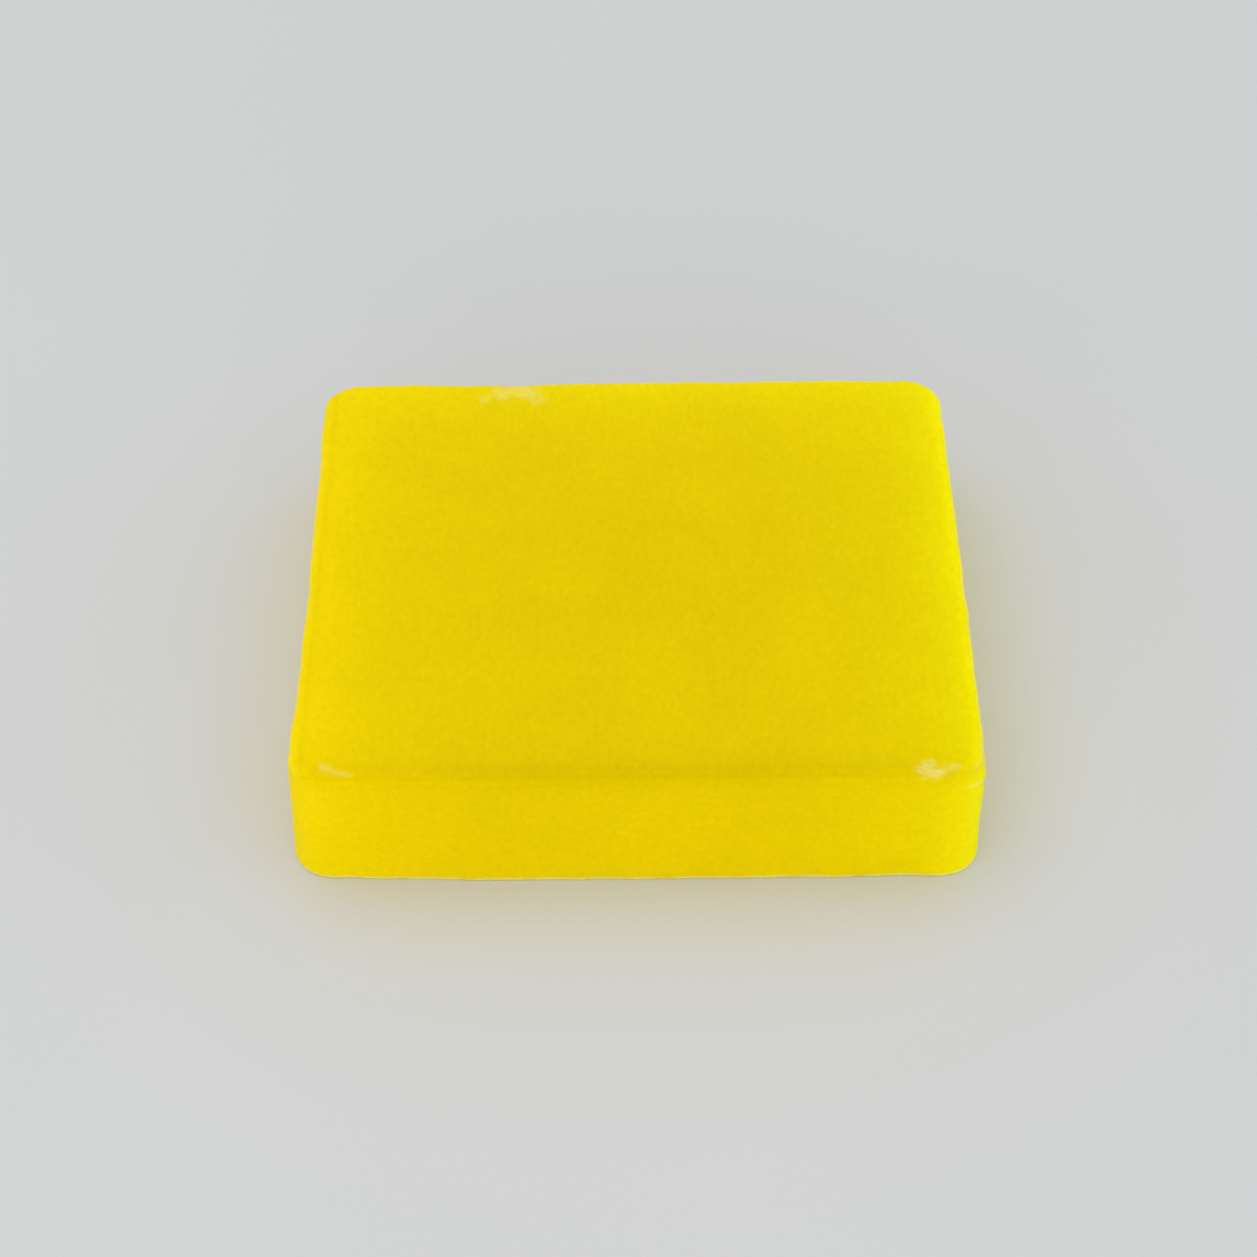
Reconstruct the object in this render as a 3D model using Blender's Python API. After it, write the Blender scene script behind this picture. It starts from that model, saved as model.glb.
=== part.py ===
"""Plain raised pavement marker: a moulded shell, the resin potting cast inside it and the grit bed under that.

Metres, +Z up. X runs across the traffic lane and Y along it. The origin is the centre of the base, on the plane
of the shell's rim, which is what the marker rests on.
"""

import math

import bmesh
import bpy
import numpy as np
from mathutils import Matrix

MM = 0.001

# Outside of the marker
BASE_X = 100 * MM
BASE_Y = 91 * MM
HEIGHT = 20.5 * MM
DRAFT = math.tan(math.radians(1.0))
CORNER_RADIUS = 6 * MM
TOP_EDGE_RADIUS = 1.5 * MM

# Moulded shell
WALL = 3.6 * MM
ROOF_UNDERSIDE = HEIGHT - WALL

# Anchor pegs under the roof, in a grid, thinner at the tip so that they leave the mould
PEG_COLUMNS = 4
PEG_ROWS = 3
PEG_SPACING = 21 * MM
PEG_ROOT_RADIUS = 3.2 * MM
PEG_TIP_RADIUS = 2.5 * MM
PEG_LENGTH = 9 * MM

# Anchor ribs down the inside of the walls, midway between the pegs
RIB_THICKNESS = 2.2 * MM
RIB_DEPTH = 3 * MM
RIB_LOW = 5 * MM
ROOTED = 1.2 * MM

# Potting and grit, each a small gap away from its neighbour
GAP = 0.3 * MM
FILL_LOW = 2.2 * MM
GRIT_MARGIN = 0.8 * MM
GRIT_CELL = 3.2 * MM
GRIT_LOW = 0.5 * MM
GRIT_GRAIN = 0.9 * MM
GRIT_SEED = 11

CORNER_SEGMENTS = 8
EDGE_SEGMENTS = 4
PEG_SIDES = 16
SMOOTH_ANGLE = math.radians(30)


def clear_scene():
    for thing in list(bpy.data.objects):
        bpy.data.objects.remove(thing, do_unlink=True)


def plain_material(name, color, roughness, metallic=0.0):
    material = bpy.data.materials.new(name)
    material.use_nodes = True
    shader = material.node_tree.nodes["Principled BSDF"]
    shader.inputs["Base Color"].default_value = (*color, 1.0)
    shader.inputs["Roughness"].default_value = roughness
    shader.inputs["Metallic"].default_value = metallic
    return material


def mesh_object(name, bm, material=None):
    """Turn a bmesh into a named object, shaded smooth with its sharp edges kept."""
    bmesh.ops.recalc_face_normals(bm, faces=bm.faces)
    mesh = bpy.data.meshes.new(name)
    bm.to_mesh(mesh)
    bm.free()
    mesh.shade_smooth()
    mesh.set_sharp_from_angle(angle=SMOOTH_ANGLE)
    thing = bpy.data.objects.new(name, mesh)
    bpy.context.scene.collection.objects.link(thing)
    if material:
        mesh.materials.append(material)
    return thing


def guide(thing):
    """Keep an object as a Boolean's operand only."""
    thing.hide_render = True
    thing.display_type = "WIRE"
    return thing


def add_boolean(thing, operation, operand):
    modifier = thing.modifiers.new(operand.name, "BOOLEAN")
    modifier.operation = operation
    modifier.solver = "EXACT"
    modifier.object = operand


def drafted_block(size_x, size_y, low, high, corner_radius):
    """A block with rounded upright corners whose sides lean in with height, sized where it crosses z = 0."""
    bm = bmesh.new()
    bmesh.ops.create_cube(bm, size=1.0)
    for vertex in bm.verts:
        z = high if vertex.co.z > 0 else low
        vertex.co.x = math.copysign(size_x / 2 - z * DRAFT, vertex.co.x)
        vertex.co.y = math.copysign(size_y / 2 - z * DRAFT, vertex.co.y)
        vertex.co.z = z
    upright = [e for e in bm.edges if abs(e.verts[0].co.z - e.verts[1].co.z) > (high - low) / 2]
    bmesh.ops.bevel(
        bm,
        geom=upright,
        offset=corner_radius,
        segments=CORNER_SEGMENTS,
        profile=0.5,
        affect="EDGES",
    )
    return bm


def round_top_edge(bm, top):
    """Round the edge where the sides meet the flat top."""
    around = [e for e in bm.edges if all(abs(v.co.z - top) < GAP / 10 for v in e.verts)]
    bmesh.ops.bevel(
        bm,
        geom=around,
        offset=TOP_EDGE_RADIUS,
        segments=EDGE_SEGMENTS,
        profile=0.5,
        affect="EDGES",
    )


def centred(count, spacing):
    """Positions of a row of things, evenly spaced about zero."""
    return [(i - (count - 1) / 2) * spacing for i in range(count)]


def add_box(bm, low, high):
    size = [b - a for a, b in zip(low, high)]
    middle = [(a + b) / 2 for a, b in zip(low, high)]
    place = Matrix.Translation(middle) @ Matrix.Diagonal((*size, 1.0))
    bmesh.ops.create_cube(bm, size=1.0, matrix=place)


def anchors(clearance):
    """The pegs and ribs of the shell, grown by a clearance where they are pockets in the potting."""
    bm = bmesh.new()
    high = ROOF_UNDERSIDE + ROOTED
    peg_low = ROOF_UNDERSIDE - PEG_LENGTH - clearance
    for x in centred(PEG_COLUMNS, PEG_SPACING):
        for y in centred(PEG_ROWS, PEG_SPACING):
            bmesh.ops.create_cone(
                bm,
                cap_ends=True,
                segments=PEG_SIDES,
                radius1=PEG_TIP_RADIUS + clearance,
                radius2=PEG_ROOT_RADIUS + clearance,
                depth=high - peg_low,
                matrix=Matrix.Translation((x, y, (high + peg_low) / 2)),
            )
    half = RIB_THICKNESS / 2 + clearance
    outer_x = BASE_X / 2 - WALL + ROOTED - ROOF_UNDERSIDE * DRAFT
    outer_y = BASE_Y / 2 - WALL + ROOTED - ROOF_UNDERSIDE * DRAFT
    inner_x = outer_x - ROOTED - RIB_DEPTH - clearance
    inner_y = outer_y - ROOTED - RIB_DEPTH - clearance
    low = RIB_LOW - clearance
    for side in (-1, 1):
        for x in centred(PEG_COLUMNS - 1, PEG_SPACING):
            across = sorted((side * inner_y, side * outer_y))
            add_box(bm, (x - half, across[0], low), (x + half, across[1], high))
        for y in centred(PEG_ROWS - 1, PEG_SPACING):
            across = sorted((side * inner_x, side * outer_x))
            add_box(bm, (across[0], y - half, low), (across[1], y + half, high))
    return bm


def make_body_shell():
    material = plain_material("yellow translucent plastic", (0.79, 0.60, 0.004), 0.45)
    outside = drafted_block(BASE_X, BASE_Y, 0.0, HEIGHT, CORNER_RADIUS)
    round_top_edge(outside, HEIGHT)
    shell = mesh_object("body_shell", outside, material)
    hollow = drafted_block(
        BASE_X - 2 * WALL,
        BASE_Y - 2 * WALL,
        -WALL,
        ROOF_UNDERSIDE,
        CORNER_RADIUS - WALL,
    )
    add_boolean(shell, "DIFFERENCE", guide(mesh_object("shell_hollow", hollow)))
    add_boolean(shell, "UNION", guide(mesh_object("shell_anchors", anchors(0.0))))


def make_potting_fill():
    material = plain_material("sand-filled resin", (0.36, 0.31, 0.22), 0.8)
    block = drafted_block(
        BASE_X - 2 * (WALL + GAP),
        BASE_Y - 2 * (WALL + GAP),
        FILL_LOW,
        ROOF_UNDERSIDE - GAP,
        CORNER_RADIUS - WALL - GAP,
    )
    fill = mesh_object("potting_fill", block, material)
    add_boolean(fill, "DIFFERENCE", guide(mesh_object("anchor_pockets", anchors(GAP))))


def make_base_grit():
    """A thin bed with a flat top and a lumpy underside, one grain to a grid point."""
    material = plain_material("coarse sand", (0.45, 0.38, 0.27), 0.9)
    inset = 2 * (WALL + GAP + GRIT_MARGIN)
    size_x = BASE_X - inset
    size_y = BASE_Y - inset
    top = FILL_LOW - GAP
    bm = bmesh.new()
    bmesh.ops.create_grid(
        bm,
        x_segments=round(size_x / GRIT_CELL),
        y_segments=round(size_y / GRIT_CELL),
        size=0.5,
        matrix=Matrix.Translation((0.0, 0.0, top)) @ Matrix.Diagonal((size_x, size_y, 1.0, 1.0)),
    )
    raised = bmesh.ops.extrude_face_region(bm, geom=list(bm.faces))["geom"]
    flat = {v for v in raised if isinstance(v, bmesh.types.BMVert)}
    random = np.random.default_rng(GRIT_SEED)
    for vertex in bm.verts:
        if vertex not in flat:
            vertex.co.z = GRIT_LOW + GRIT_GRAIN * random.random()
    mesh_object("base_grit", bm, material)


def main():
    clear_scene()
    make_body_shell()
    make_potting_fill()
    make_base_grit()


main()
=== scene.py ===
"""Looks of a plain yellow raised pavement marker: worn translucent shell, sand-filled potting and grit bed.

Lengths are metres in the part's own frame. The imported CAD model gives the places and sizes, and the
constants below describe this marker's own wear: it isn't quite square, its edges wander and it is chipped
in three places.
"""

import math

import bmesh
import bpy
import numpy as np
from mathutils import Matrix, Vector


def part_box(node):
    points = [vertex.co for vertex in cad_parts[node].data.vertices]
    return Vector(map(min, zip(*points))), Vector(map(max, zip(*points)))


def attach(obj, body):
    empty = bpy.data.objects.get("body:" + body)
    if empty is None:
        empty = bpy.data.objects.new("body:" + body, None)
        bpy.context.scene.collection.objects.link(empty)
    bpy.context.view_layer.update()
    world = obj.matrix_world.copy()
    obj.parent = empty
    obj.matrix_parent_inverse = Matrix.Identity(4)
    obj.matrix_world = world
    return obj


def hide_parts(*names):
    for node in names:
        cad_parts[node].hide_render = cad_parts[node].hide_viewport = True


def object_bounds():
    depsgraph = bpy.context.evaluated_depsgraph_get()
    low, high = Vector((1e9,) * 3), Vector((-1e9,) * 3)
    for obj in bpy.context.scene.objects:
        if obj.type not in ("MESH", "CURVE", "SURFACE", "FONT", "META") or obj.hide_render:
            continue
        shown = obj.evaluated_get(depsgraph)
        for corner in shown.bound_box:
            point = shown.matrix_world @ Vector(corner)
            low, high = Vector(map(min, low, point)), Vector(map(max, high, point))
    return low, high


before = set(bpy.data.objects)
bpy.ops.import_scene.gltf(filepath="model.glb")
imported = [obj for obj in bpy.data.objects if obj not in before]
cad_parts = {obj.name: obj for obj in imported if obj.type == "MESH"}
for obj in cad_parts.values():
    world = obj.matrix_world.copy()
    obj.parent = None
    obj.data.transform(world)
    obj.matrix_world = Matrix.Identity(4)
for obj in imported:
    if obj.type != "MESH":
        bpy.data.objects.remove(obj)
cad_low, cad_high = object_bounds()

MM = 0.001

# The CAD shell's sizes
HALF_X = cad_high.x
HALF_Y = cad_high.y
HEIGHT = cad_high.z
DRAFT = math.tan(math.radians(1.0))
CORNER_RADIUS = 6 * MM
WALL = 3.6 * MM

# The visible shell's edges, a little softer than the CAD model's
TOP_EDGE_RADIUS = 1.55 * MM
RIM_EDGE_RADIUS = 0.2 * MM

# Mesh density of the shell: points along the front and the right side, and how many meet one inner point
COARSE_X = 66
COARSE_Y = 60
FINENESS = 4

# Rows of points from the rim to the roof, how much closer together they get near the top edge, how far in
# they go on the roof, and the step from there to the coarser points inside
RIM_ROWS = 4
WALL_ROWS = 40
EDGE_ROWS = 9
ROOF_ROWS = 11
WALL_BUNCHING = 1.6
ROOF_BUNCHING = 1.3
ROOF_BORDER = 4.4 * MM
COARSE_STEP_IN = 0.6 * MM

# Points nearer than this are welded, edges sharper than these stay sharp, and lengths under this are nothing
WELD = 1e-7
SHELL_SHARP = math.radians(32)
FACE_SHARP = math.radians(40)
TINY = 1e-9

# Ripples are sums of this many sine waves, whose lengths lie between these shares of the one asked for
RIPPLE_WAVES = 7
RIPPLE_SPREAD = (0.6, 1.7)

# The potting's face: its height, its waves, how far it hangs down at the walls, and how its points are spread
WALL_SLACK = 0.03 * MM
FACE_CELL = 1.1 * MM
FACE_LOW = 2.0 * MM
FACE_UNDER_FILL = 0.05 * MM
FACE_WAVES = 0.06 * MM
FACE_WAVELENGTH = 6 * MM
FACE_SEED = 51
MENISCUS = 0.9 * MM
MENISCUS_WIDTH = 0.8 * MM
BUNCHED_SHARE = 0.55
EVEN_SHARE = 0.45

# The grains: how they are laid out, where there are none, and how their sizes, shapes and depths vary
GRIT_MARGIN = 1.6 * MM
GRIT_PITCH = 1.25 * MM
GRIT_RADIUS = 0.55 * MM
GRIT_LOWEST = 0.25 * MM
GRIT_SEED = 61
GRIT_JITTER = 0.42
GRIT_PATCH = 9 * MM
GRIT_PATCH_SEED = 62
GRIT_SCATTER = 0.7
GRIT_THINNEST = -1.25
GRAIN_SIZES = (0.65, 1.35)
GRAIN_LUMPS = (0.8, 1.15)
GRAIN_SIDES = (0.6, 1.15)
GRAIN_SUNK = (0.1, 0.7)

# Uneven sides, as distances outwards, or inwards where the name says cut, dip or fall. AT is the middle and
# the width of a change along its side, FROM is where one starts and over what length it comes in, and
# LOW_HOLLOW is the share of the left hollow that reaches the base
LEFT_HOLLOW = -0.16 * MM
LEFT_HOLLOW_AT = (-14 * MM, 14 * MM)
LEFT_LOW_HOLLOW = 0.5
LEFT_LOW_HOLLOW_AT = (-10 * MM, 17 * MM)
LEFT_FLARE = 0.30 * MM
LEFT_FLARE_MIDDLE = -2 * MM
LEFT_FLARE_FROM = (16 * MM, 26 * MM)
LEFT_FOOT = 0.36 * MM
LEFT_FOOT_FROM = (12 * MM, 24 * MM)
RIGHT_BULGE = 0.14 * MM
RIGHT_BULGE_AT = (0.0, 34 * MM)
RIGHT_FRONT_CUT = 0.34 * MM
RIGHT_FRONT_FROM = (35 * MM, 5 * MM)
RIGHT_FOOT_CUT = 0.20 * MM
RIGHT_FOOT_FROM = (36 * MM, 6 * MM)
BACK_RISE = 0.30 * MM
BACK_RISE_FROM = (-18 * MM, 22 * MM)
BACK_DIP = 0.16 * MM
BACK_DIP_AT = (-20 * MM, 9 * MM)
FRONT_BOW = 0.46 * MM
FRONT_SKEW = 0.06 * MM
FRONT_FALL = 0.40 * MM
FRONT_LEFT_CUT = 0.42 * MM
FRONT_LEFT_FROM = (22 * MM, 20 * MM)

# Wander of the edges: share of the amount, wavelength and seed of each set of ripples
EDGE_WANDER = 0.07 * MM
TOP_EDGE_RIPPLES = ((1.0, 9 * MM, 3), (0.5, 3 * MM, 4))
BASE_EDGE_RIPPLES = ((1.0, 7 * MM, 5), (0.6, 2.4 * MM, 6))
ROUNDNESS_WANDER = 0.10
ROUNDNESS_RIPPLES = (14 * MM, 8)
TOP_WANDER = 0.035 * MM
TOP_RIPPLES = (30 * MM, 9)

# How far each corner is from an arc (0) to a straight cut (1), from front left, anticlockwise from above
CORNER_CUTS_TOP = (0.0, 0.0, 0.20, 0.10)
CORNER_CUTS_BASE = (0.0, 0.0, 0.1, 0.1)

# The shell's yellows: its middle; painted glow towards three of its edges, standing for light that gets in
# through the thin walls, greenish from the right; and painted shade near the front top edge
YELLOW_CORE = (0.775, 0.570, 0.0005)
YELLOW_LEFT_PAINTED_GLOW = (0.935, 0.705, 0.0008)
YELLOW_RIGHT_PAINTED_GLOW = (0.955, 0.895, 0.0010)
YELLOW_BACK_PAINTED_GLOW = (0.895, 0.710, 0.0010)
YELLOW_PAINTED_SHADE = (0.555, 0.407, 0.0005)
# Pale colour of the real broken flakes, also used for the painted highlights on the rim, shoulders, back edge
# and crease
FRACTURE_AND_PAINTED_HIGHLIGHT = (0.90, 0.84, 0.34)

# How far the painted glow reaches. The right one is made of two, and is weaker right at the wall
LEFT_GLOW_DEPTH = 9 * MM
BACK_GLOW_DEPTH = 9 * MM
BACK_GLOW = 0.95
RIGHT_GLOW = 0.5
RIGHT_GLOW_DEPTHS = (10 * MM, 1.8 * MM)
RIGHT_SKIN = (0.1 * MM, 1.6 * MM)
RIGHT_SKIN_GLOW = 0.6

# Painted shade: a darker band along the front top edge, which fades sooner down the wall than along the top
# and is weaker at its ends, and a thin darker line beside the left edge
BAND_DEPTH = 1.9 * MM
BAND_DOWN_RATE = 2.0
BAND_ENDS = (8 * MM, 30 * MM)
BAND_AT_ENDS = 0.75
SHADE_LINE = 0.20
SHADE_LINE_IN = 2.0 * MM
SHADE_LINE_WIDTH = 0.5 * MM
NEAR_TOP = (1.2 * MM, 0.4 * MM)

# In this file a noise is its wavelength, detail and roughness, and a ramp is the two values that it runs
# between and what it gives at each, which is 0 and 1 where only two are there

# Where pale highlights are painted on the shell, along the rim, the shoulders and the back edge: ramps of the
# height above the base, of the depth below the top, and of the distance in from the front or the back
RIM_PAINTED_HIGHLIGHT = (0.8 * MM, 0.2 * MM, 0.0, 0.5)
SHOULDER_STARTS = (0.35 * MM, 0.8 * MM)
SHOULDER_ENDS = (2.0 * MM, 1.1 * MM, 0.0, 0.18)
OFF_FRONT = (1 * MM, 6 * MM)
BACK_LINE_IN = (1.65 * MM, 1.1 * MM)
BACK_LINE_DOWN = (1.5 * MM, 0.6 * MM, 0.0, 0.16)
PATCHY_NOISE = (2.4 * MM, 3.0)
PATCHY_RAMP = (0.3, 0.6, 0.35, 1.0)


# ---------------------------------------------------------------- helpers


def smooth(t):
    """Smooth step of an array that is cut to 0..1."""
    t = np.clip(t, 0.0, 1.0)
    return t * t * (3 - 2 * t)


def rise(t, start, run):
    """0 up to a start, climbing smoothly to 1 over a run."""
    return smooth((t - start) / run)


def bell(t, middle, width):
    """1 at a middle, falling to 1/e at a width from it."""
    return np.exp(-(((t - middle) / width) ** 2))


def ripples(points, wavelength, seed):
    """Smooth pseudo-random values, mostly within -1..1, of an N x k array of places."""
    random = np.random.default_rng(seed)
    total = np.zeros(len(points))
    for _ in range(RIPPLE_WAVES):
        direction = random.normal(size=points.shape[1])
        direction /= np.linalg.norm(direction)
        length = wavelength * random.uniform(*RIPPLE_SPREAD)
        total += np.sin(points @ direction * (2 * math.pi / length) + random.uniform(0, 2 * math.pi))
    return total / math.sqrt(RIPPLE_WAVES)


def mesh_of(name, points, faces):
    mesh = bpy.data.meshes.new(name)
    mesh.from_pydata([tuple(p) for p in points], [], [tuple(f) for f in faces])
    mesh.validate()
    mesh.update()
    return mesh


def new_object(name, data):
    thing = bpy.data.objects.new(name, data)
    bpy.context.scene.collection.objects.link(thing)
    return thing


def boolean_result(first, second, operation):
    """The mesh of two objects combined. Both objects are removed."""
    modifier = first.modifiers.new("combine", "BOOLEAN")
    modifier.operation = operation
    modifier.solver = "EXACT"
    modifier.object = second
    evaluated = first.evaluated_get(bpy.context.evaluated_depsgraph_get())
    mesh = bpy.data.meshes.new_from_object(evaluated)
    bpy.data.objects.remove(first, do_unlink=True)
    bpy.data.objects.remove(second, do_unlink=True)
    return mesh


# ---------------------------------------------------------------- shell outline


def outline(fine_x, fine_y):
    """Feet and outward directions of points round a rounded rectangle, from its front-left corner."""
    feet = []
    angles = []
    corner_x = HALF_X - CORNER_RADIUS
    corner_y = HALF_Y - CORNER_RADIUS
    eighth = CORNER_RADIUS * math.pi / 4
    sides = (
        ((-corner_x, -corner_y), (corner_x, -corner_y), -math.pi / 2, fine_x),
        ((corner_x, -corner_y), (corner_x, corner_y), 0.0, fine_y),
        ((corner_x, corner_y), (-corner_x, corner_y), math.pi / 2, fine_x),
        ((-corner_x, corner_y), (-corner_x, -corner_y), math.pi, fine_y),
    )
    for start, end, facing, count in sides:
        start = np.array(start)
        end = np.array(end)
        straight = np.linalg.norm(end - start)
        along = np.arange(count) / count * (straight + 2 * eighth)
        share = np.clip((along - eighth) / straight, 0.0, 1.0)
        feet.append(start + share[:, None] * (end - start))
        turn = np.minimum(along - eighth, 0.0) + np.maximum(along - eighth - straight, 0.0)
        angles.append(facing + turn / CORNER_RADIUS)
    return np.vstack(feet), np.concatenate(angles)


def corner_cut(angles, cuts):
    """Inward distance that turns a corner's arc towards a straight cut across it."""
    total = np.zeros(len(angles))
    for index, cut in enumerate(cuts):
        middle = math.radians(-135 + 90 * index)
        off = np.angle(np.exp(1j * (angles - middle)))
        arc = CORNER_RADIUS * (np.cos(off) - math.cos(math.pi / 4))
        total += np.where(np.abs(off) < math.pi / 4, cut * arc, 0.0)
    return total


def edge_wander(place, sets):
    """Small uneven distances outwards, summed from sets of ripples."""
    return sum(share * EDGE_WANDER * ripples(place, length, seed) for share, length, seed in sets)


def side_wear(feet, angles):
    """How far the top and the base edge stand outside the true outline, at each point round it."""
    x, y = feet[:, 0], feet[:, 1]
    outward = np.column_stack([np.cos(angles), np.sin(angles)])
    left = smooth(-outward[:, 0])
    right = smooth(outward[:, 0])
    squarely_right = smooth(2 * outward[:, 0] - 1)
    back = smooth(outward[:, 1])
    front = smooth(-outward[:, 1])
    place = feet + outward * CORNER_RADIUS
    to_front = -place[:, 1]
    top = left * LEFT_HOLLOW * bell(y, *LEFT_HOLLOW_AT)
    top += left * LEFT_FLARE * rise(np.abs(y - LEFT_FLARE_MIDDLE), *LEFT_FLARE_FROM)
    top += right * RIGHT_BULGE * bell(y, *RIGHT_BULGE_AT)
    top -= right * RIGHT_FRONT_CUT * rise(to_front, *RIGHT_FRONT_FROM)
    top += back * BACK_RISE * rise(x, *BACK_RISE_FROM)
    top -= back * BACK_DIP * bell(x, *BACK_DIP_AT)
    top += edge_wander(place, TOP_EDGE_RIPPLES)
    base = front * (FRONT_BOW + FRONT_SKEW * x / HALF_X - FRONT_FALL * (x / HALF_X) ** 2)
    base -= front * FRONT_LEFT_CUT * rise(-x, *FRONT_LEFT_FROM)
    base += left * LEFT_FOOT * rise(-y, *LEFT_FOOT_FROM)
    base += left * LEFT_HOLLOW * LEFT_LOW_HOLLOW * bell(y, *LEFT_LOW_HOLLOW_AT)
    base -= squarely_right * RIGHT_FOOT_CUT * rise(to_front, *RIGHT_FOOT_FROM)
    base += edge_wander(place, BASE_EDGE_RIPPLES)
    top -= corner_cut(angles, CORNER_CUTS_TOP)
    base -= corner_cut(angles, CORNER_CUTS_BASE)
    return top, base


# ---------------------------------------------------------------- chips


# How ragged the flakes' outlines and how rough their floors are, how steeply they fall to the floor, and from
# what height, measured from the top, they come in
FLAKE_RAGGED = 0.2
FLAKE_RAGGED_LENGTH = 1.5 * MM
FLAKE_ROUGH = 0.35
FLAKE_ROUGH_LENGTH = 0.8 * MM
FLAKE_FLOOR = 1.6
FLAKE_FROM = (-2 * MM, 1 * MM)


class Flake:
    """One broken or bruised patch of the top: an ellipse in plan, turned, with its depth and how pale it is.

    The middle, the radii and the depth are given in millimetres and the turn in degrees.
    """

    def __init__(self, middle, radii, turn, depth, pale, seed):
        self.middle = np.array(middle) * MM
        self.radii = np.array(radii) * MM
        self.turn = math.radians(turn)
        self.depth = depth * MM
        self.pale = pale
        self.seed = seed

    def share(self, points):
        """1 at the patch's middle, falling to 0 at its ragged outline."""
        off = points[:, :2] - self.middle
        along = off @ (math.cos(self.turn), math.sin(self.turn)) / self.radii[0]
        across = off @ (-math.sin(self.turn), math.cos(self.turn)) / self.radii[1]
        ragged = 1 + FLAKE_RAGGED * ripples(points[:, :2], FLAKE_RAGGED_LENGTH, self.seed)
        return np.clip(1 - (along**2 + across**2) / ragged, 0.0, 1.0)

    def hollow(self, points):
        """How far the points of the patch are lowered, onto a rough floor."""
        rough = 1 + FLAKE_ROUGH * ripples(points, FLAKE_ROUGH_LENGTH, self.seed + 1)
        high = rise(points[:, 2] - HEIGHT, *FLAKE_FROM)
        return high * self.depth * rough * smooth(FLAKE_FLOOR * self.share(points))


# The front and back edges of the top, in millimetres from the middle
EDGE_Y = HALF_Y / MM - 0.4

FLAKES = (
    # front right: an angular flake on the edge and its tail
    Flake((41.1, 1.5 - EDGE_Y), (1.9, 1.5), 40, 0.24, 0.42, 21),
    Flake((41.5, 0.9 - EDGE_Y), (2.8, 1.1), -8, 0.24, 0.42, 22),
    Flake((44.2, 1.4 - EDGE_Y), (2.4, 1.0), 6, 0.10, 0.20, 23),
    # front left: a thin skewed streak
    Flake((-44.2, 2.3 - EDGE_Y), (1.5, 1.0), -30, 0.08, 0.23, 31),
    Flake((-42.3, 1.4 - EDGE_Y), (2.3, 0.55), -12, 0.10, 0.16, 32),
    # back: a worn stretch with soft patches
    Flake((-18.2, EDGE_Y - 2.4), (4.0, 2.4), -24, 0.20, 0.32, 41),
    Flake((-21.3, EDGE_Y - 3.2), (2.0, 2.2), 60, 0.12, 0.26, 42),
    Flake((-23.9, EDGE_Y - 4.6), (1.5, 1.2), 20, 0.06, 0.16, 43),
    Flake((-15.9, EDGE_Y - 4.6), (2.4, 1.7), -50, 0.06, 0.17, 44),
)

# The front-right corner stands out under its top edge, down to a crease, with a highlight painted along the
# crease's upper
# side. Angles are directions outwards: 0 is the right side and -90 degrees the front
CREASE_ANGLE = math.radians(-27)
LIP_ABOVE = 1.6 * MM
LIP_OUT = 0.22 * MM
LIP_REACH = 0.7 * MM
CREASE_HEIGHT = HEIGHT - 6.5 * MM
CREASE_RISE = 2.8 * MM
CREASE_RUN = math.radians(60)
CREASE_CLIMBS_TO = 1.2
CREASE_SPREAD = math.radians(26)
CREASE_DEPTH = 0.24 * MM
CREASE_WIDTH = 0.35 * MM
CORNER_SWELL = 0.38 * MM
SWELL_ANGLE = math.radians(-12)
SWELL_SPREAD = math.radians(26)
SWELL_FROM = (5 * MM, 9 * MM)
SWELL_FADE = 2.4 * MM
CORNER_REACH = 6 * MM
CREASE_HIGHLIGHT = 0.44
CREASE_HIGHLIGHT_AT = (0.45 * MM, 0.3 * MM)
CREASE_HIGHLIGHT_FROM = (-2 * MM, 1 * MM)


def crease_height(angle):
    """The crease climbs as it leaves the corner for the front."""
    return CREASE_HEIGHT + CREASE_RISE * np.clip(-angle / CREASE_RUN, 0.0, CREASE_CLIMBS_TO)


def painted_crease_highlight(points):
    """How strongly the highlight is painted along the crease's upper side."""
    off = points[:, :2] - (HALF_X - CORNER_RADIUS, CORNER_RADIUS - HALF_Y)
    angle = np.arctan2(off[:, 1], off[:, 0])
    outside = rise(np.hypot(off[:, 0], off[:, 1]) - CORNER_RADIUS, *CREASE_HIGHLIGHT_FROM)
    above = points[:, 2] - crease_height(angle)
    line = CREASE_HIGHLIGHT * bell(angle, CREASE_ANGLE, CREASE_SPREAD) * bell(above, *CREASE_HIGHLIGHT_AT)
    return outside * line


def lip(angle, z):
    """Outward distance of the swollen corner, of the lip round it and of the crease under the lip."""
    off = np.angle(np.exp(1j * (angle - CREASE_ANGLE)))
    above = z - crease_height(CREASE_ANGLE + off)
    aside = bell(off + CREASE_ANGLE, SWELL_ANGLE, SWELL_SPREAD)
    ridge = LIP_OUT * bell(above, LIP_ABOVE, LIP_REACH)
    under_edge = smooth((HEIGHT - SWELL_FADE - z) / SWELL_FADE)
    swell = CORNER_SWELL * rise(z, *SWELL_FROM) * under_edge
    groove = CREASE_DEPTH * bell(above, 0.0, CREASE_WIDTH)
    return aside * (ridge + swell) - groove * bell(off, 0.0, CREASE_SPREAD)


# ---------------------------------------------------------------- shell mesh


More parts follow.
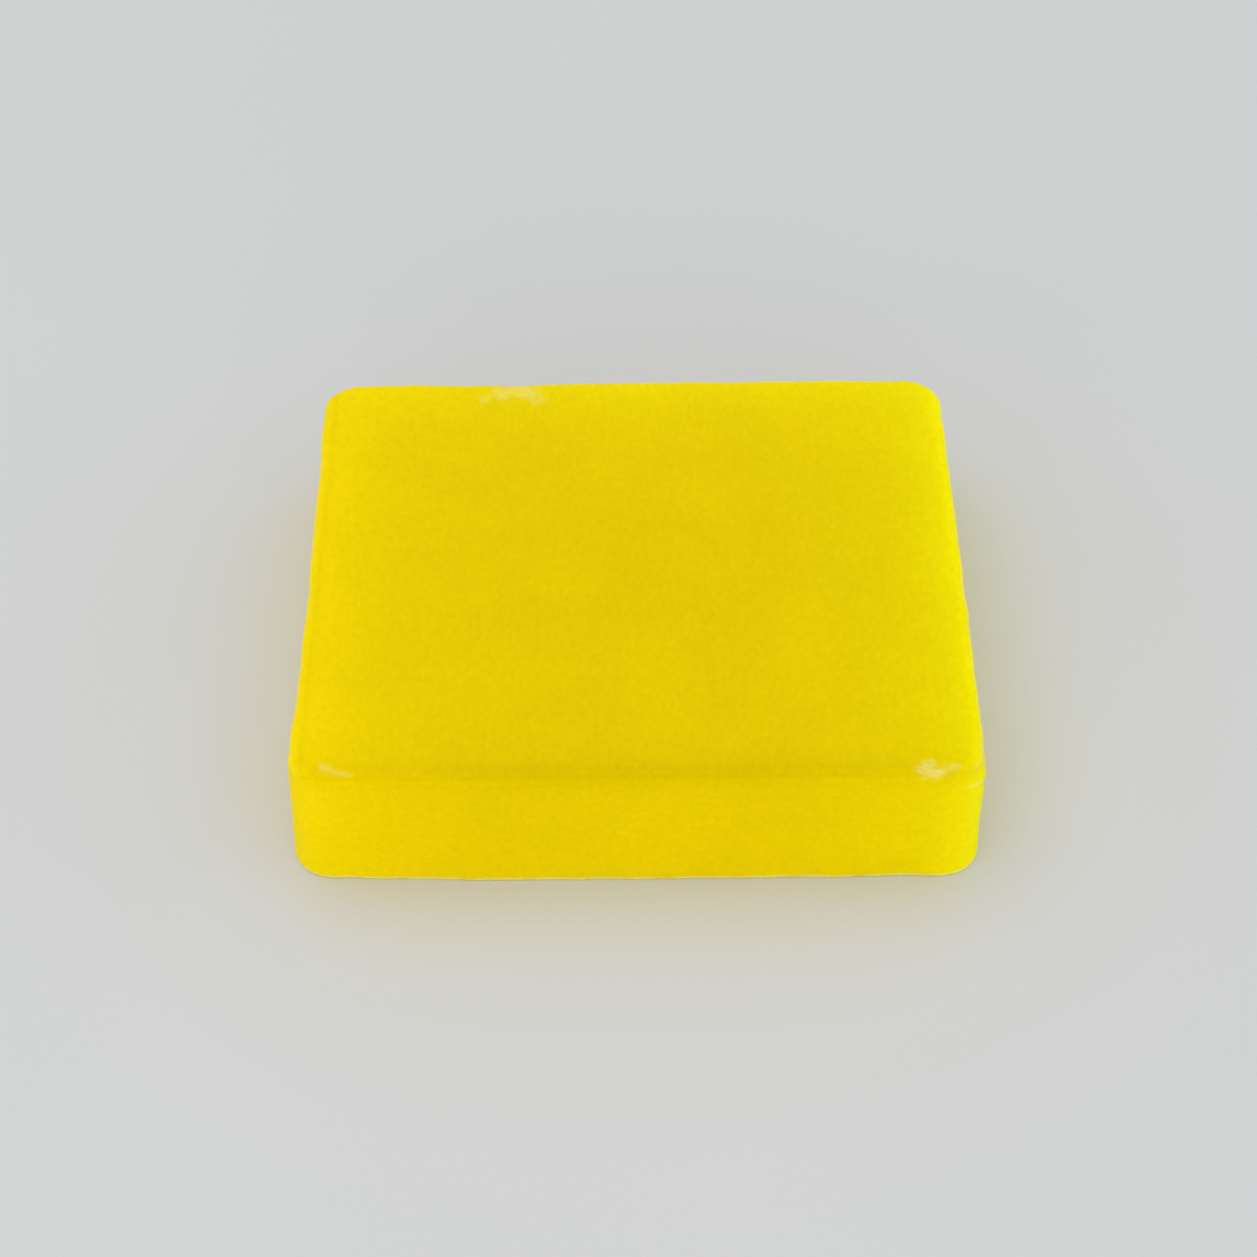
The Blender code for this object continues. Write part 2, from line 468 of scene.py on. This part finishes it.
def shell_rows(edge_radius):
    """Insets and heights of the rows of points, from the rim, up the wall, over the edge, onto the top."""
    count = len(edge_radius)
    rows = []
    for turn in np.linspace(0, math.pi / 2, RIM_ROWS):
        inset = RIM_EDGE_RADIUS * (1 - math.sin(turn))
        z = RIM_EDGE_RADIUS * (1 - math.cos(turn))
        rows.append((np.full(count, inset), np.full(count, z)))
    wall_top = HEIGHT - edge_radius
    for share in smooth_steps(WALL_ROWS):
        z = RIM_EDGE_RADIUS + share * (wall_top - RIM_EDGE_RADIUS)
        rows.append((np.zeros(count), z))
    for turn in np.linspace(0, math.pi / 2, EDGE_ROWS)[1:]:
        rows.append((edge_radius * (1 - math.cos(turn)), wall_top + edge_radius * math.sin(turn)))
    for share in np.linspace(0, 1, ROOF_ROWS)[1:] ** ROOF_BUNCHING:
        rows.append((edge_radius + share * (ROOF_BORDER - edge_radius), np.full(count, HEIGHT)))
    return rows


def smooth_steps(count):
    """Shares of the way from 0 to 1, closer together near 1."""
    t = np.arange(1, count + 1) / count
    return 1 - (1 - t) ** WALL_BUNCHING


def ring_faces(count, rows):
    """Squares between rings of points that lie one after another."""
    faces = []
    for row in range(rows - 1):
        a = row * count
        b = a + count
        for i in range(count):
            j = (i + 1) % count
            faces.append((a + i, a + j, b + j, b + i))
    return faces


def thinning_faces(outer_first, outer_count, inner):
    """Faces between a ring and one with a quarter of its points."""
    faces = []
    for k in range(len(inner)):
        a = [outer_first + (FINENESS * k + i) % outer_count for i in range(FINENESS + 1)]
        here = inner[k]
        there = inner[(k + 1) % len(inner)]
        faces.append((a[0], a[1], here))
        faces.append((a[1], a[2], here))
        faces.append((a[2], there, here))
        faces.append((a[2], a[3], there))
        faces.append((a[3], a[4], there))
    return faces


def patch(ring, nx, ny):
    """Points inside a ring of 2 (nx + ny) points, and the index grid of them all, by a Coons patch."""
    front = ring[: nx + 1]
    right = ring[nx : nx + ny + 1]
    back = ring[nx + ny : 2 * nx + ny + 1][::-1]
    left = np.vstack([ring[2 * nx + ny :], ring[:1]])[::-1]
    u = np.linspace(0, 1, nx + 1)[:, None, None]
    v = np.linspace(0, 1, ny + 1)[None, :, None]
    grid = (1 - v) * front[:, None] + v * back[:, None] + (1 - u) * left[None] + u * right[None]
    grid -= (1 - u) * (1 - v) * front[0] + u * (1 - v) * front[-1]
    grid -= (1 - u) * v * back[0] + u * v * back[-1]
    index = np.full((nx + 1, ny + 1), -1)
    index[:, 0] = np.arange(nx + 1)
    index[nx, :] = nx + np.arange(ny + 1)
    index[::-1, ny] = nx + ny + np.arange(nx + 1)
    index[0, 1:][::-1] = (2 * nx + ny + np.arange(ny)) % len(ring)
    index[1:-1, 1:-1] = len(ring) + np.arange((nx - 1) * (ny - 1)).reshape(nx - 1, ny - 1)
    return grid[1:-1, 1:-1].reshape(-1, ring.shape[1]), index


def outer_block():
    """The shell's outside as a closed block with a flat base, worn and chipped."""
    feet, angles = outline(COARSE_X * FINENESS, COARSE_Y * FINENESS)
    count = len(angles)
    outward = np.column_stack([np.cos(angles), np.sin(angles)])
    top_wear, base_wear = side_wear(feet, angles)
    place = feet + outward * CORNER_RADIUS
    edge_radius = TOP_EDGE_RADIUS * (1 + ROUNDNESS_WANDER * ripples(place, *ROUNDNESS_RIPPLES))
    layers = []
    from_corner = np.hypot(feet[:, 0] - HALF_X + CORNER_RADIUS, feet[:, 1] + HALF_Y - CORNER_RADIUS)
    near_corner = bell(from_corner, 0.0, CORNER_REACH)
    for inset, z in shell_rows(edge_radius):
        share = z / HEIGHT
        wear = top_wear * share + base_wear * (1 - share) + near_corner * lip(angles, z)
        radius = CORNER_RADIUS - inset - z * DRAFT + wear
        layers.append(np.column_stack([feet + outward * radius[:, None], z]))
    points = np.vstack(layers)
    faces = ring_faces(count, len(layers))
    faces.append(tuple(range(count))[::-1])
    last = layers[-1]
    coarse = last[::FINENESS] * (1 - COARSE_STEP_IN / HALF_X)
    coarse[:, 2] = HEIGHT
    inside, index = patch(coarse, COARSE_X, COARSE_Y)
    first = len(points)
    faces += thinning_faces(first - count, count, [first + i for i in range(len(coarse))])
    index = index + first
    for i in range(COARSE_X):
        for j in range(COARSE_Y):
            faces.append((index[i, j], index[i + 1, j], index[i + 1, j + 1], index[i, j + 1]))
    points = np.vstack([points, coarse, inside])
    lifted = smooth((points[:, 2] - HEIGHT / 2) / (HEIGHT / 2))
    points[:, 2] += lifted * TOP_WANDER * ripples(points[:, :2], *TOP_RIPPLES)
    points[:, 2] -= np.max([flake.hollow(points) for flake in FLAKES], axis=0)
    return new_object("outer_block", mesh_of("outer_block", points, faces))


def cavity():
    """The hollow of the CAD shell as a solid: it leaves the visible shell its roof, walls, pegs and ribs."""
    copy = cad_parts["body_shell"].data.copy()
    for vertex in copy.vertices:
        if vertex.co.z < RIM_EDGE_RADIUS:
            vertex.co.z = -2 * WALL
    copy.update()
    bm = bmesh.new()
    bm.from_mesh(copy)
    bmesh.ops.remove_doubles(bm, verts=bm.verts, dist=WELD)
    bm.to_mesh(copy)
    bm.free()
    within = 1.5 * WALL
    size = (2 * HALF_X - within, 2 * HALF_Y - within, HEIGHT + WALL / 2)
    bm = bmesh.new()
    place = Matrix.Translation((0, 0, size[2] / 2 - WALL)) @ Matrix.Diagonal((*size, 1.0))
    bmesh.ops.create_cube(bm, size=1.0, matrix=place)
    block = bpy.data.meshes.new("block")
    bm.to_mesh(block)
    bm.free()
    solid = boolean_result(new_object("block", block), new_object("cad_shell", copy), "DIFFERENCE")
    return new_object("cavity", solid)


def make_shell(material):
    mesh = boolean_result(outer_block(), cavity(), "DIFFERENCE")
    mesh.name = "shell"
    mesh.shade_smooth()
    mesh.set_sharp_from_angle(angle=SHELL_SHARP)
    mesh.materials.clear()
    mesh.materials.append(material)
    points = np.empty(3 * len(mesh.vertices))
    mesh.vertices.foreach_get("co", points)
    # Per-point share of the painted highlight along the front-right crease
    crease_highlight = mesh.attributes.new("crease_highlight", "FLOAT", "POINT")
    crease_highlight.data.foreach_set("value", painted_crease_highlight(points.reshape(-1, 3)))
    shell = new_object("shell", mesh)
    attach(shell, "root")
    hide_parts("body_shell")


# ---------------------------------------------------------------- underside


def make_potting_face(material):
    """The cast face of the potting, which hangs down a little further at the walls, as a meniscus."""
    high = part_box("potting_fill")[0].z - FACE_UNDER_FILL
    half_x = HALF_X - WALL - WALL_SLACK
    half_y = HALF_Y - WALL - WALL_SLACK
    corner = CORNER_RADIUS - WALL
    count_x, count_y = round(2 * half_x / FACE_CELL), round(2 * half_y / FACE_CELL)
    u, v = np.meshgrid(bunched(count_x), bunched(count_y), indexing="ij")
    x, y = u * half_x, v * half_y
    over_x = np.maximum(np.abs(x) - (half_x - corner), 0.0)
    over_y = np.maximum(np.abs(y) - (half_y - corner), 0.0)
    off = np.hypot(over_x, over_y)
    longest = np.maximum(over_x, over_y)
    pull = np.where(off > 0, longest / np.maximum(off, TINY), 1.0)
    x = np.sign(x) * (np.minimum(np.abs(x), half_x - corner) + over_x * pull)
    y = np.sign(y) * (np.minimum(np.abs(y), half_y - corner) + over_y * pull)
    from_wall = np.minimum(half_x - np.abs(x), half_y - np.abs(y))
    from_wall = np.where((over_x > 0) & (over_y > 0), corner - longest, from_wall)
    flat = np.column_stack([x.ravel(), y.ravel()])
    low = FACE_LOW - MENISCUS * np.exp(-from_wall.ravel() / MENISCUS_WIDTH)
    low += FACE_WAVES * ripples(flat, FACE_WAVELENGTH, FACE_SEED)
    under = np.column_stack([flat, low])
    over = np.column_stack([flat, np.full(len(flat), high)])
    index = np.arange(len(flat)).reshape(x.shape)
    faces = []
    for i in range(count_x):
        for j in range(count_y):
            square = (index[i, j], index[i + 1, j], index[i + 1, j + 1], index[i, j + 1])
            faces.append(square[::-1])
            faces.append(tuple(k + len(flat) for k in square))
    border = [*index[:-1, 0], *index[-1, :-1], *index[:0:-1, -1], *index[0, :0:-1]]
    for a, b in zip(border, border[1:] + border[:1]):
        faces.append((a, b, b + len(flat), a + len(flat)))
    mesh = mesh_of("potting_face", np.vstack([under, over]), faces)
    mesh.shade_smooth()
    mesh.set_sharp_from_angle(angle=FACE_SHARP)
    mesh.materials.append(material)
    face = new_object("potting_face", mesh)
    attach(face, "root")


def bunched(count):
    """Places from -1 to 1, closer together near the ends."""
    t = np.linspace(-1, 1, count + 1)
    return np.sin(t * math.pi / 2) * BUNCHED_SHARE + t * EVEN_SHARE


def icosahedron():
    """Points and faces of a plain 20-sided ball."""
    bm = bmesh.new()
    bmesh.ops.create_icosphere(bm, subdivisions=1, radius=1.0)
    points = np.array([v.co for v in bm.verts])
    faces = np.array([[v.index for v in f.verts] for f in bm.faces])
    bm.free()
    return points, faces


def make_grit_bed(material):
    """Coarse sand pressed into the potting: angular grains of mixed sizes, with bare resin here and there."""
    random = np.random.default_rng(GRIT_SEED)
    half_x = HALF_X - WALL - GRIT_MARGIN
    half_y = HALF_Y - WALL - GRIT_MARGIN
    columns, rows = round(2 * half_x / GRIT_PITCH), round(2 * half_y / GRIT_PITCH)
    u, v = np.meshgrid(np.linspace(-1, 1, columns), np.linspace(-1, 1, rows), indexing="ij")
    middles = np.column_stack([u.ravel() * half_x, v.ravel() * half_y])
    middles += random.uniform(-GRIT_JITTER, GRIT_JITTER, middles.shape) * GRIT_PITCH
    thick = ripples(middles, GRIT_PATCH, GRIT_PATCH_SEED)
    thick += random.normal(size=len(middles)) * GRIT_SCATTER
    middles = middles[thick > GRIT_THINNEST]
    ball, faces = icosahedron()
    points, tones, all_faces = [], [], []
    for number, (x, y) in enumerate(middles):
        radius = GRIT_RADIUS * random.uniform(*GRAIN_SIZES)
        turn = np.linalg.qr(random.normal(size=(3, 3)))[0]
        if np.linalg.det(turn) < 0:
            turn[:, 0] *= -1
        grain = ball * random.uniform(*GRAIN_LUMPS, (len(ball), 1)) * random.uniform(*GRAIN_SIDES, 3)
        grain = grain @ turn * radius
        sunk = FACE_LOW - radius * random.uniform(*GRAIN_SUNK)
        z = max(sunk, GRIT_LOWEST - grain[:, 2].min())
        points.append(grain + (x, y, z))
        all_faces.append(faces + number * len(ball))
        tones.append(np.full(len(ball), random.random()))
    mesh = mesh_of("grit_bed", np.vstack(points), np.vstack(all_faces).tolist())
    tone = mesh.attributes.new("tone", "FLOAT", "POINT")
    tone.data.foreach_set("value", np.concatenate(tones))
    mesh.materials.append(material)
    bed = new_object("grit_bed", mesh)
    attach(bed, "root")
    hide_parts("base_grit")


# ---------------------------------------------------------------- materials


# Sockets of the mix node that carry colours
MIX_SHARE = 0
MIX_FIRST = 6
MIX_SECOND = 7
MIX_COLOUR = 2


class Graph:
    """A material's node tree, with short ways to add nodes to it."""

    def __init__(self, name):
        self.material = bpy.data.materials.new(name)
        self.material.use_nodes = True
        self.tree = self.material.node_tree
        self.shader = self.tree.nodes["Principled BSDF"]
        self.place = self.add("ShaderNodeTexCoord").outputs["Object"]

    def add(self, kind, sockets=None, **settings):
        node = self.tree.nodes.new(kind)
        for key, value in settings.items():
            setattr(node, key, value)
        for key, value in (sockets or {}).items():
            self.put(node.inputs[key], value)
        return node

    def put(self, socket, value):
        if isinstance(value, bpy.types.NodeSocket):
            self.tree.links.new(value, socket)
        else:
            socket.default_value = value

    def set(self, name, value):
        self.put(self.shader.inputs[name], value)

    def math(self, operation, *values, clamp=False):
        node = self.add("ShaderNodeMath", operation=operation, use_clamp=clamp)
        for socket, value in zip(node.inputs, values):
            self.put(socket, value)
        return node.outputs[0]

    def vector(self, operation, *values):
        node = self.add("ShaderNodeVectorMath", operation=operation)
        for socket, value in zip(node.inputs, values):
            self.put(socket, value)
        return node.outputs["Value"] if operation == "LENGTH" else node.outputs[0]

    def noise(self, wavelength, detail=2.0, roughness=0.5, place=None):
        sockets = {
            "Vector": place or self.place,
            "Scale": 1 / wavelength,
            "Detail": detail,
            "Roughness": roughness,
        }
        return self.add("ShaderNodeTexNoise", sockets).outputs["Fac"]

    def attribute(self, name):
        return self.add("ShaderNodeAttribute", attribute_name=name).outputs["Fac"]

    def product(self, *values):
        """The values multiplied, from left to right."""
        total = values[0]
        for value in values[1:]:
            total = self.math("MULTIPLY", total, value)
        return total

    def ramp(self, value, low, high, out_low=0.0, out_high=1.0):
        sockets = {
            "Value": value,
            "From Min": low,
            "From Max": high,
            "To Min": out_low,
            "To Max": out_high,
        }
        node = self.add("ShaderNodeMapRange", sockets, interpolation_type="SMOOTHSTEP")
        return node.outputs["Result"]

    def mix(self, share, first, second):
        node = self.add("ShaderNodeMix", data_type="RGBA", blend_type="MIX")
        colours = [(*c, 1.0) if isinstance(c, tuple) else c for c in (first, second)]
        self.put(node.inputs[MIX_SHARE], share)
        self.put(node.inputs[MIX_FIRST], colours[0])
        self.put(node.inputs[MIX_SECOND], colours[1])
        return node.outputs[MIX_COLOUR]

    def bump(self, height, distance, before=None):
        sockets = {"Height": height, "Distance": distance, "Strength": 1.0}
        if before is not None:
            sockets["Normal"] = before
        return self.add("ShaderNodeBump", sockets).outputs["Normal"]


def fading(g, distance, length, amount=1.0):
    """The amount at no distance, falling to 1/e of it at the length."""
    share = g.math("EXPONENT", g.math("DIVIDE", distance, -length))
    return g.math("MULTIPLY", share, amount)


def painted_edge_glow(g, left, right, back):
    """The core's colour with painted glow: lighter towards the left, right and back edges, and greener on the
    right, standing for light that gets in through the thin walls.
    """
    colour = g.mix(fading(g, back, BACK_GLOW_DEPTH, BACK_GLOW), YELLOW_CORE, YELLOW_BACK_PAINTED_GLOW)
    colour = g.mix(fading(g, left, LEFT_GLOW_DEPTH), colour, YELLOW_LEFT_PAINTED_GLOW)
    off_wall = g.ramp(right, *RIGHT_SKIN, RIGHT_SKIN_GLOW, 1.0)
    deep, shallow = (fading(g, right, depth, RIGHT_GLOW) for depth in RIGHT_GLOW_DEPTHS)
    return g.mix(g.product(g.math("ADD", deep, shallow), off_wall), colour, YELLOW_RIGHT_PAINTED_GLOW)


def painted_edge_shade(g, colour, x, left, from_front, down):
    """The colour with painted shade: darker in a line beside the left edge and in the band along the front
    top edge.
    """
    off_line = g.math("ABSOLUTE", g.math("SUBTRACT", left, SHADE_LINE_IN))
    line = g.product(fading(g, off_line, SHADE_LINE_WIDTH, SHADE_LINE), g.ramp(down, *NEAR_TOP))
    colour = g.mix(line, colour, YELLOW_PAINTED_SHADE)
    from_edge = g.math("MAXIMUM", from_front, g.math("MULTIPLY", down, BAND_DOWN_RATE))
    along = g.ramp(g.math("ABSOLUTE", x), *BAND_ENDS, 1.0, BAND_AT_ENDS)
    return g.mix(fading(g, from_edge, BAND_DEPTH, along), colour, YELLOW_PAINTED_SHADE)


def painted_edge_highlights(g, z, back, from_front, down):
    """How strongly pale highlights are painted on the rim, the shoulders, the back edge and the crease, in
    patches.
    """
    rim = g.ramp(z, *RIM_PAINTED_HIGHLIGHT)
    shoulder = g.product(g.ramp(down, *SHOULDER_STARTS), g.ramp(down, *SHOULDER_ENDS))
    back_line = g.product(g.ramp(back, *BACK_LINE_IN), g.ramp(down, *BACK_LINE_DOWN))
    shoulder = g.math("MAXIMUM", shoulder, back_line)
    edges = g.math("ADD", rim, g.product(g.ramp(from_front, *OFF_FRONT), shoulder))
    patchy = g.ramp(g.noise(*PATCHY_NOISE), *PATCHY_RAMP)
    return g.math("MAXIMUM", g.product(edges, patchy), g.product(g.attribute("crease_highlight"), patchy))


def shell_colour(g):
    """The shell's colour with its painted glow, shade and highlights, without its clouds, specks and flakes.
    """
    x, y, z = g.add("ShaderNodeSeparateXYZ", {"Vector": g.place}).outputs
    left = g.math("ADD", HALF_X, x)
    right = g.math("SUBTRACT", HALF_X, x)
    back = g.math("SUBTRACT", HALF_Y, y)
    from_front = g.math("ADD", HALF_Y, y)
    down = g.math("SUBTRACT", HEIGHT, z)
    colour = painted_edge_shade(g, painted_edge_glow(g, left, right, back), x, left, from_front, down)
    return g.mix(painted_edge_highlights(g, z, back, from_front, down), colour, FRACTURE_AND_PAINTED_HIGHLIGHT)


# The whitened flakes: their ragged borders and cloudy insides
BORDER_NOISE = (1.3 * MM, 4.0, 0.6)
BORDER_RAMP = (0.3, 0.7, -0.18, 0.18)
BORDER_FADE = (1.1, 0.4)
FLAKE_REACH_DOWN = 2.2 * MM
INSIDE_NOISE = (0.8 * MM, 4.0, 0.7)
INSIDE_RAMP = (0.32, 0.65, 0.5, 1.0)


def flake_paleness(g):
    """How far the broken patches are whitened, with ragged, cloudy borders."""
    ragged = g.ramp(g.noise(*BORDER_NOISE), *BORDER_RAMP)
    found = 0.0
    for flake in FLAKES:
        off = g.vector("SUBTRACT", g.place, (*flake.middle, HEIGHT))
        turned = g.add(
            "ShaderNodeVectorRotate",
            {"Vector": off, "Angle": -flake.turn},
            rotation_type="Z_AXIS",
        ).outputs[0]
        scale = (1 / flake.radii[0], 1 / flake.radii[1], 1 / FLAKE_REACH_DOWN)
        reach = g.vector("LENGTH", g.vector("MULTIPLY", turned, scale))
        share = g.ramp(g.math("ADD", reach, ragged), *BORDER_FADE, 0.0, flake.pale)
        found = g.math("MAXIMUM", found, share)
    return g.product(found, g.ramp(g.noise(*INSIDE_NOISE), *INSIDE_RAMP))


# The shell's surface: clouds, specks drawn out along its depth, duller patches, peel and grain
CLOUD_NOISE = (14 * MM, 3.0, 0.55)
CLOUD_RAMP = (0.3, 0.7, -0.5, 0.5)
CLOUD = 0.035
SPECK_NOISE = (0.9 * MM, 3.0, 0.65)
SPECK_RAMP = (0.25, 0.75, -0.5, 0.5)
SPECK_STRETCH = (1.0, 0.6, 1.0)
SPECK = 0.075
ROUGH_NOISE = (2.2 * MM, 4.0, 0.6)
ROUGH_RAMP = (0.3, 0.7, 0.44, 0.58)
FLAKE_ROUGHNESS = 0.5
PEEL_NOISE = (3.2 * MM, 2.0, 0.4)
PEEL_HEIGHT = 0.02 * MM
GRAIN_NOISE = (0.45 * MM, 3.0, 0.6)
GRAIN_HEIGHT = 0.012 * MM


def shell_material():
    """Waxy yellow plastic, slightly translucent, with faint clouds and specks."""
    g = Graph("yellow_shell")
    cloud = g.ramp(g.noise(*CLOUD_NOISE), *CLOUD_RAMP)
    drawn = g.vector("MULTIPLY", g.place, SPECK_STRETCH)
    speck = g.ramp(g.noise(*SPECK_NOISE, drawn), *SPECK_RAMP)
    tone = g.math("ADD", g.math("MULTIPLY", cloud, CLOUD), g.math("MULTIPLY", speck, SPECK))
    toned = g.add(
        "ShaderNodeVectorMath",
        {"Vector": shell_colour(g), "Scale": g.math("ADD", 1.0, tone)},
        operation="SCALE",
    ).outputs[0]
    pale = flake_paleness(g)
    g.set("Base Color", g.mix(pale, toned, FRACTURE_AND_PAINTED_HIGHLIGHT))
    rough = g.ramp(g.noise(*ROUGH_NOISE), *ROUGH_RAMP)
    g.set("Roughness", g.math("ADD", rough, g.math("MULTIPLY", pale, FLAKE_ROUGHNESS), clamp=True))
    peel = g.bump(g.noise(*PEEL_NOISE), PEEL_HEIGHT)
    g.set("Normal", g.bump(g.noise(*GRAIN_NOISE), GRAIN_HEIGHT, peel))
    g.set("Subsurface Weight", 0.3)
    g.set("Subsurface Radius", (1.0, 0.7, 0.05))
    g.set("Subsurface Scale", 2.5 * MM)
    g.set("Specular IOR Level", 0.02)
    g.set("Specular Tint", (1.0, 0.85, 0.0, 1.0))
    g.set("Sheen Weight", 0.4)
    g.set("Sheen Roughness", 0.12)
    g.set("Sheen Tint", (1.0, 0.95, 0.45, 1.0))
    return g.material


# The resin and the sand: their darkest and lightest colours, and the dirt on the sand
RESIN_DARK = (0.22, 0.19, 0.13)
RESIN_LIGHT = (0.46, 0.41, 0.31)
RESIN_COLOUR_NOISE = (0.8 * MM, 4.0, 0.6)
RESIN_BUMP_NOISE = (0.7 * MM, 4.0, 0.6)
RESIN_BUMP_HEIGHT = 0.1 * MM
SAND_DARK = (0.20, 0.15, 0.10)
SAND_LIGHT = (0.66, 0.58, 0.44)
DIRT = (0.30, 0.25, 0.18)
DIRT_NOISE = (0.35 * MM, 3.0)
DIRT_RAMP = (0.35, 0.65, 0.0, 0.35)
SAND_BUMP_NOISE = (0.25 * MM, 3.0)
SAND_BUMP_HEIGHT = 0.05 * MM


def resin_material():
    """Grey-brown resin full of fine sand."""
    g = Graph("sand_filled_resin")
    g.set("Base Color", g.mix(g.noise(*RESIN_COLOUR_NOISE), RESIN_DARK, RESIN_LIGHT))
    g.set("Roughness", 0.7)
    g.set("Normal", g.bump(g.noise(*RESIN_BUMP_NOISE), RESIN_BUMP_HEIGHT))
    return g.material


def grit_material():
    """Stone from dark to light, a tone to a grain, with dirt in patches."""
    g = Graph("coarse_sand")
    stone = g.mix(g.attribute("tone"), SAND_DARK, SAND_LIGHT)
    g.set("Base Color", g.mix(g.ramp(g.noise(*DIRT_NOISE), *DIRT_RAMP), stone, DIRT))
    g.set("Roughness", 0.75)
    g.set("Normal", g.bump(g.noise(*SAND_BUMP_NOISE), SAND_BUMP_HEIGHT))
    return g.material


# ---------------------------------------------------------------- floor, light, camera


FLOOR_RADIUS = 3.0
FLOOR_SIDES = 96
FLOOR_BELOW = -0.02 * MM
FLOOR_NOISE = (0.2, 3.0)
FLOOR_DARK = (0.60, 0.605, 0.60)
FLOOR_LIGHT = (0.64, 0.645, 0.64)
WORLD_COLOUR = (0.97, 0.98, 1.0, 1.0)
WORLD_STRENGTH = 0.815

# Soft lights aimed at the marker: name, place, size and power in watts
LIGHTS = (
    ("overhead", (-0.25, 0.1, 0.9), (0.9, 0.9), 1.7),
    ("front", (-0.15, -1.1, 0.25), (2.2, 0.45), 5.6),
    ("right", (1.2, -0.1, 0.12), (0.4, 0.2), 1.9),
)


def make_floor():
    """A plain pale floor, just far enough under the marker not to touch it."""
    bm = bmesh.new()
    bmesh.ops.create_circle(bm, cap_ends=True, radius=FLOOR_RADIUS, segments=FLOOR_SIDES)
    mesh = bpy.data.meshes.new("floor")
    bm.to_mesh(mesh)
    bm.free()
    floor = new_object("floor", mesh)
    floor.location.z = FLOOR_BELOW
    g = Graph("pale_floor")
    g.set("Base Color", g.mix(g.noise(*FLOOR_NOISE), FLOOR_DARK, FLOOR_LIGHT))
    g.set("Roughness", 0.55)
    mesh.materials.append(g.material)


def area_light(name, place, size, power):
    data = bpy.data.lights.new(name, "AREA")
    data.shape = "RECTANGLE"
    data.size, data.size_y = size
    data.energy = power
    light = new_object(name, data)
    light.location = place
    aim = Vector((0, 0, HEIGHT / 2)) - Vector(place)
    light.rotation_euler = aim.to_track_quat("-Z", "Y").to_euler()


def make_lights():
    world = bpy.data.worlds.new("studio")
    bpy.context.scene.world = world
    world.use_nodes = True
    background = world.node_tree.nodes["Background"]
    background.inputs["Color"].default_value = WORLD_COLOUR
    background.inputs["Strength"].default_value = WORLD_STRENGTH
    for light in LIGHTS:
        area_light(*light)


# The view, as found from the marker's outline
VIEW_TARGET = Vector((-1.11, -3.00, 10.0)) * MM
VIEW_DISTANCE = 470.6 * MM
VIEW_DOWN = math.radians(42.96)
VIEW_ROLL = math.radians(0.49)
VIEW_LENS = 87.7
SENSOR = 36.0
CLIP = (0.01, 20.0)


def make_camera():
    data = bpy.data.cameras.new("camera")
    data.lens = VIEW_LENS
    data.sensor_width = SENSOR
    data.clip_start, data.clip_end = CLIP
    camera = new_object("camera", data)
    away = Vector((0, -math.cos(VIEW_DOWN), math.sin(VIEW_DOWN)))
    camera.rotation_mode = "QUATERNION"
    level = (-away).to_track_quat("-Z", "Y").to_matrix()
    camera.rotation_quaternion = (level @ Matrix.Rotation(-VIEW_ROLL, 3, "Z")).to_quaternion()
    camera.location = VIEW_TARGET + away * VIEW_DISTANCE
    bpy.context.scene.camera = camera


def main():
    make_camera()
    make_lights()
    make_floor()
    make_shell(shell_material())
    resin = resin_material()
    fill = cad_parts["potting_fill"].data
    fill.materials.clear()
    fill.materials.append(resin)
    make_potting_face(resin)
    make_grit_bed(grit_material())
    bpy.context.scene.view_settings.view_transform = "Standard"


main()
